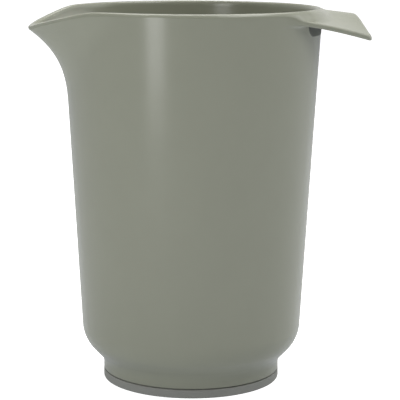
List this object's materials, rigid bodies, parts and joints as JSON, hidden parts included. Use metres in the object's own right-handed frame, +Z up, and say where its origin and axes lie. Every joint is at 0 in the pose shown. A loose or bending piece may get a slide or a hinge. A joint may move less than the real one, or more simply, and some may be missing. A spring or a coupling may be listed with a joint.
{
  "type": "mixing bowl",
  "caption": "Tall jug-shaped mixing bowl with a pouring spout, a drooping arched handle, a non-slip foot ring and a grip pad.",
  "frame": {"origin": "centre of the resting plane, under the middle of the base ring", "axes": "+Z up, +X towards the handle, -X towards the spout, +Y to the left when the handle points away"},
  "size_m": [0.1575, 0.122, 0.178],
  "materials": {
    "shell_plastic": "semi-gloss moulded plastic, grey-green",
    "ring_rubber": "matt rubber, darker grey-green",
    "pad_rubber": "matt rubber, dark grey"
  },
  "bodies": {
    "root": {"bowl_body": "shell_plastic", "base_ring": "ring_rubber", "grip_pad": "pad_rubber"}
  },
  "joints": []
}
